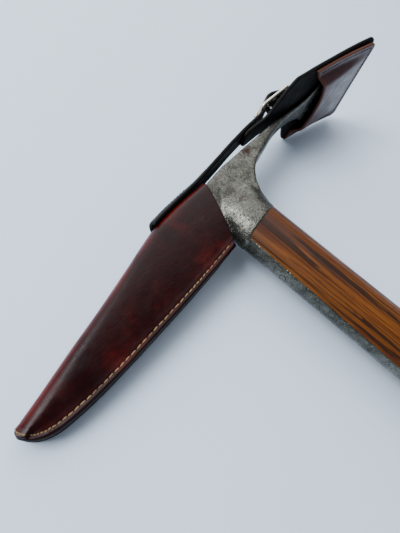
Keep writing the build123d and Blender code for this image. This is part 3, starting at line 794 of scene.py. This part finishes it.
# ---- chape ------------------------------------------------------------------------------------
def chape_path():
    """The chape's middle line: along the panel, up, round the bar and back into itself."""
    bar_x, bar_y, loop = 89.5, 53.9, 1.9
    line = [(x, arc(x, 4.9)) for x in (120.6, 116, 111, 106.5, 103)]
    line += [(99.5, 50.9), (95.5, 54.2)]
    for degrees in (60, 100, 140, 180, 220, 260, 300):
        a = math.radians(degrees)
        line.append((bar_x + loop * math.cos(a), bar_y + loop * math.sin(a)))
    line += [(95.0, 51.2), (98.5, 48.2)]
    line += [(x, arc(x, 3.2)) for x in (103, 106.5, 111, 116, 120.4)]
    return line


CHAPE = chape_path()
CHAPE_LONG, CHAPE_THICK, PRONG_SLOT_HALF, CHAPE_SIDE = 80, 1.25, 1.8, 4.2


def chape_half(side):
    """The surface of the chape on one side of the prong's slot."""
    def place(u, v):
        x, y = curve(CHAPE, u)
        return x, y, side * (PRONG_SLOT_HALF + CHAPE_SIDE * v)
    return place


for name, place in (("chape_near", flipped(chape_half(1))), ("chape_far", chape_half(-1))):
    part = sheet(
        name, place, stops(CHAPE_LONG, 1.2, 0.6), stops(CHAPE_SIDE, 0.8, 0.5), CHAPE_THICK,
        "adze_cover", BLACK, lambda u, gap, p: (0.3, smooth(0.6, 0.2, gap)), edge=0.5,
    )
    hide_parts("chape")


# ---- pieces that keep their CAD shape ----------------------------------------------------------
for names, material in (
    (("shaft",), WOOD),
    (("langet_rivets", "ferrule", "spike", "ferrule_pin"), STEEL),
    (("chape_rivets", "rivet_burrs"), RIVET),
    (("buckle_frame", "buckle_prong"), PLATED),
):
    for name in names:
        mesh = frame["nodes"][name].data
        mesh.materials.clear()
        mesh.materials.append(material)
        mesh.polygons.foreach_set("material_index", [0] * len(mesh.polygons))


# ---- floor, light and camera --------------------------------------------------------------------
FLOOR_HALF, FLOOR_LEVEL = 6, -0.0005


def stage():
    """A wide sheet of pale blue paper under the axe."""
    n = Nodes("floor_paper")
    n.finish(linear(204, 219, 236), 0.85)
    corners = [(-1, -1), (1, -1), (1, 1), (-1, 1)]
    points = [(FLOOR_HALF * x, FLOOR_HALF * y, FLOOR_LEVEL) for x, y in corners]
    mesh = bpy.data.meshes.new("floor")
    mesh.from_pydata(points, [], [(0, 1, 2, 3)])
    mesh.materials.append(n.material)
    floor = bpy.data.objects.new("floor", mesh)
    bpy.context.scene.collection.objects.link(floor)


stage()


def lamp(name, place, aim, size, power, colour):
    """A soft square lamp placed and aimed in the axe's millimetres."""
    light = bpy.data.lights.new(name, "AREA")
    light.shape = "RECTANGLE"
    light.size, light.size_y = size, size
    light.energy = power
    light.color = colour
    obj = bpy.data.objects.new(name, light)
    bpy.context.scene.collection.objects.link(obj)
    obj.location = AXE @ Vector(place)
    obj.rotation_mode = "QUATERNION"
    obj.rotation_quaternion = (AXE @ Vector(aim) - obj.location).to_track_quat("-Z", "Y")


lamp("window", (620, 950, 900), (20, 0, 0), size=2.4, power=44, colour=(0.98, 0.99, 1.0))
lamp("fill", (-700, 900, 1300), (0, 0, 0), size=0.9, power=42, colour=(0.92, 0.96, 1.0))

world = bpy.data.worlds.new("studio")
world.use_nodes = True
sky = world.node_tree.nodes["Background"]
sky.inputs["Color"].default_value = (0.86, 0.92, 1.0, 1)
sky.inputs["Strength"].default_value = 0.34
bpy.context.scene.world = world

# The picture's long side spans the sensor, and the focal length is as long as its short side.
SHORT_SIDE, LONG_SIDE, SENSOR = 400, 533, 36
CAMERA_PLACE = Vector((-141.0, -29.6, 193.4))
ahead = Vector((0.4388, 0.1662, -0.8831)).normalized()
top = Vector((0.6285, 0.6456, 0.4338))
top = (top - ahead * top.dot(ahead)).normalized()
turn = Matrix((ahead.cross(top), top, -ahead)).transposed()

camera = bpy.data.cameras.new("camera")
camera.lens = SHORT_SIDE / LONG_SIDE * SENSOR
camera.sensor_width = SENSOR
camera.clip_start, camera.clip_end = 0.01, 20
eye = bpy.data.objects.new("camera", camera)
bpy.context.scene.collection.objects.link(eye)
eye.matrix_world = Matrix.Translation(AXE @ CAMERA_PLACE) @ (TURN @ turn).to_4x4()
bpy.context.scene.camera = eye
